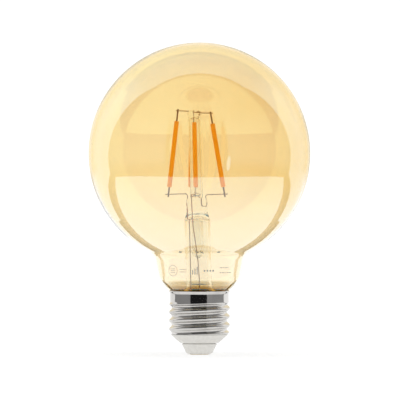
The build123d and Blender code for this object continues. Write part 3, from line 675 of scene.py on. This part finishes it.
def printed_patch(corners):
    """A thin closed skin of ink over a small quadrilateral of (across, z) on the front of the neck."""
    points = []
    for lift in (INK_LIFT, INK_TOP):
        for across, z in corners:
            radius = neck_radius(z) + lift
            turn = -math.pi / 2 + across / neck_radius(z)
            points.append(Vector((radius * math.cos(turn), radius * math.sin(turn), z)) * MM)
    faces = [(3, 2, 1, 0), (4, 5, 6, 7)]
    faces += [(side, (side + 1) % 4, (side + 1) % 4 + 4, side + 4) for side in range(4)]
    return points, faces


def bar(left, low, width, height, columns=4):
    """Patches of an upright rectangle, cut into columns so that it follows the curve."""
    edges = [left + width * step / columns for step in range(columns + 1)]
    return [[(a, low), (b, low), (b, low + height), (a, low + height)] for a, b in zip(edges, edges[1:])]


def hoop(across, z, radius, line):
    """Patches of a circular band, which is a dot where its inner radius is nothing."""
    steps = 28
    turns = [2 * math.pi * step / steps for step in range(steps + 1)]
    patches = []
    for a, b in zip(turns, turns[1:]):
        corners = ((radius, a), (radius + line, a), (radius + line, b), (radius, b))
        patches.append([(across + r * math.cos(t), z + r * math.sin(t)) for r, t in corners])
    return patches


def print_patches():
    """A lined ring, two lines, rising bars, dots, and two rows of dashes."""
    patches = hoop(-12.2, PRINT_Z, 2.2, PRINT_LINE)
    for up in (-0.8, 0.0, 0.8):
        patches += bar(-13.4, PRINT_Z - 0.1 + up, 2.4, PRINT_LINE)
    patches += bar(-8.8, PRINT_Z - 0.6, 3.2, 0.2) + bar(-8.8, PRINT_Z + 0.4, 3.2, 0.2)
    for number, height in enumerate((1.2, 1.9, 2.6, 3.3)):
        patches += bar(-4.0 + number * 0.95, PRINT_Z - 1.6, 0.4, height, 1)
    for number in range(4):
        patches += hoop(2.2 + number * 1.25, PRINT_Z, 0.0, 0.4)
    for up, dashes in ((1.1, (1.2, 0.7, 1.0, 0.5)), (-1.0, (0.8, 1.3, 0.5, 0.9, 1.1))):
        across = 9.0
        for dash in dashes:
            patches += bar(across, PRINT_Z + up, dash, 0.3, 2)
            across += dash + 0.35
    return patches


def neck_print():
    """Marks of no meaning, where a lamp carries its printing."""
    points, faces = [], []
    for corners in print_patches():
        patch_points, patch_faces = printed_patch(corners)
        faces += [tuple(corner + len(points) for corner in face) for face in patch_faces]
        points += patch_points
    mesh = bpy.data.meshes.new("neck_print")
    mesh.from_pydata(points, [], faces)
    mesh.materials.append(materials["print_ink"])
    piece = bpy.data.objects.new("neck_print", mesh)
    bpy.context.scene.collection.objects.link(piece)
    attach(piece, "root")


neck_print()

# ---- table, tent and room ----

WHITE = (1.0, 1.0, 1.0, 1.0)
WHITE_LIGHT = 1.10
TABLE_GLOW = 0.45
TABLE_EDGE_R, TABLE_CENTRE_Y, TABLE_BACK_Y = 307, 96, 38
TENT_HALF_WIDTH, TENT_BACK_Y, TENT_TOP_Z = 211, 300, 400
# Front edge of the tent's side walls, as (y, z) from the ceiling down to the floor
TENT_FRONT_EDGE = [(-24, 400), (35, 95), (40, 38), (86, 11), (228, -94)]

# Where each light of the tent fades into the next, in metres
GREY_HEIGHT, GOLD_DEPTH, GOLD_HEIGHT = (0.22, 0.40), (0.08, 0.30), (0.03, 0.06)

# Edges of the room's dark middle and of its low and high parts, as slopes and sines of a direction
DARK_LEFT, DARK_RIGHT, LOW_PART, HIGH_PART = (-0.76, -0.68), (0.61, 0.54), (-0.05, -0.3), (0.35, 0.7)
WINDOW_ACROSS, WINDOW_UP, WINDOW_HALF_WIDTH, WINDOW_HALF_HEIGHT = 0.60, -0.21, 0.05, 0.16


def stage_mesh(name, points, faces, finish):
    """Something that is not part of the lamp, from points in millimetres."""
    mesh = bpy.data.meshes.new(name)
    mesh.from_pydata([Vector(point) * MM for point in points], [], faces)
    mesh.materials.append(materials[finish])
    item = bpy.data.objects.new(name, mesh)
    bpy.context.scene.collection.objects.link(item)
    return item


def table():
    """Small round-fronted white table that the lamp stands on, straight at its back."""
    shader = new_material("pale_table")
    albedo = shader.mix(shader.noise(400), grey(0.60), rgba((0.63, 0.63, 0.625)))
    diffuse = shader.add("BsdfDiffuse", {"Color": albedo}).outputs[0]
    glow = shader.add("Emission", {"Color": WHITE, "Strength": TABLE_GLOW}).outputs[0]
    both = shader.add("AddShader", {0: diffuse, 1: glow}).outputs[0]
    shader.add("OutputMaterial", {"Surface": both})
    corner = math.degrees(math.asin((TABLE_CENTRE_Y - TABLE_BACK_Y) / TABLE_EDGE_R))
    edge = arc((0, TABLE_CENTRE_Y), TABLE_EDGE_R, corner - 180, -corner, 96)
    stage_mesh("table_top", [(x, y, 0) for x, y in edge], [range(len(edge))], "pale_table")


def tent():
    """White light tent behind the lamp, seen only in the lamp and through its glass.

    In reflections its ceiling is a little grey, and the far part of its walls is golden.
    """
    shader = new_material("tent_white")
    _, depth, height = shader.place()
    light = shader.mix(shader.step(height, *GREY_HEIGHT), WHITE, grey(0.75))
    warm = shader.math("MULTIPLY", shader.step(depth, *GOLD_DEPTH), shader.step(height, *GOLD_HEIGHT))
    light = shader.mix(warm, light, rgba((0.94, 0.84, 0.64)))
    straight = shader.math("LESS_THAN", shader.add("LightPath").outputs["Glossy Depth"], 0.5)
    light = shader.mix(straight, light, WHITE)
    glow = shader.add("Emission", {"Color": light, "Strength": WHITE_LIGHT}).outputs[0]
    shader.add("OutputMaterial", {"Surface": glow})
    side = TENT_FRONT_EDGE + [(TENT_BACK_Y, TENT_FRONT_EDGE[-1][1]), (TENT_BACK_Y, TENT_TOP_Z)]
    points = [(x, y, z) for x in (-TENT_HALF_WIDTH, TENT_HALF_WIDTH) for y, z in side]
    count = len(side)
    back, ceiling = (count - 2, count - 1), (count - 1, 0)
    faces = [range(count), range(count, 2 * count)]
    faces += [(first, last, last + count, first + count) for first, last in (back, ceiling)]
    walls = stage_mesh("light_tent", points, faces, "tent_white")
    walls.visible_camera = False
    walls.visible_diffuse = False
    walls.visible_shadow = False


def studio():
    """White to look at and to be lit by, but a dim room in front of the lamp for its reflections."""
    world = bpy.data.worlds.new("studio")
    bpy.context.scene.world = world
    world.use_nodes = True
    shader = Shader(world.node_tree)
    x, y, z = shader.add("SeparateXYZ", {0: shader.add("TexCoord").outputs["Generated"]}).outputs
    forward = shader.math("MAXIMUM", shader.math("MULTIPLY", y, -1.0), 0.02)
    across, up = shader.math("DIVIDE", x, forward), shader.math("DIVIDE", z, forward)
    sides = shader.mix(shader.step(x, -0.2, 0.2), grey(0.26), grey(0.31))
    middle = shader.math("MULTIPLY", shader.step(across, *DARK_LEFT), shader.step(across, *DARK_RIGHT))
    room = shader.mix(middle, sides, grey(0.012))
    room = shader.mix(shader.step(z, *LOW_PART), room, grey(0.03))
    room = shader.mix(shader.step(z, *HIGH_PART), room, grey(0.14))
    # A tall narrow window stands just to the right of the dark middle.
    wide = shader.math("DIVIDE", shader.math("SUBTRACT", across, WINDOW_ACROSS), WINDOW_HALF_WIDTH)
    tall = shader.math("DIVIDE", shader.math("SUBTRACT", up, WINDOW_UP), WINDOW_HALF_HEIGHT)
    far = shader.math("ADD", shader.math("MULTIPLY", wide, wide), shader.math("MULTIPLY", tall, tall))
    room = shader.mix(shader.step(far, 1.2, 0.7), room, grey(1.2))
    reflected = shader.math("GREATER_THAN", shader.add("LightPath").outputs["Glossy Depth"], 0.5)
    scattered = shader.math("GREATER_THAN", shader.add("LightPath").outputs["Diffuse Depth"], 0.5)
    light = shader.mix(reflected, WHITE, room)
    light = shader.mix(scattered, light, WHITE)
    background = shader.add("Background", {"Color": light, "Strength": WHITE_LIGHT})
    shader.add("OutputWorld", {"Surface": background.outputs[0]})


def camera():
    """Nearly level view from far in front, from the height of the globe's middle."""
    distance, height, aim_x, aim_z, seen_width = 2500, 86, 0.26, 66.2, 171.45
    eye, aim = Vector((aim_x, -distance, height)), Vector((aim_x, 0, aim_z))
    data = bpy.data.cameras.new("camera")
    data.sensor_width = 36.0
    data.lens = data.sensor_width * (aim - eye).length / seen_width
    view = bpy.data.objects.new("camera", data)
    view.location = eye * MM
    view.rotation_euler = (aim - eye).to_track_quat("-Z", "Y").to_euler()
    bpy.context.scene.collection.objects.link(view)
    bpy.context.scene.camera = view


table()
tent()
studio()
camera()

scene = bpy.context.scene
scene.view_settings.view_transform = "Standard"
scene.cycles.max_bounces = 24
scene.cycles.transmission_bounces = 24
scene.cycles.glossy_bounces = 8
scene.cycles.diffuse_bounces = 4
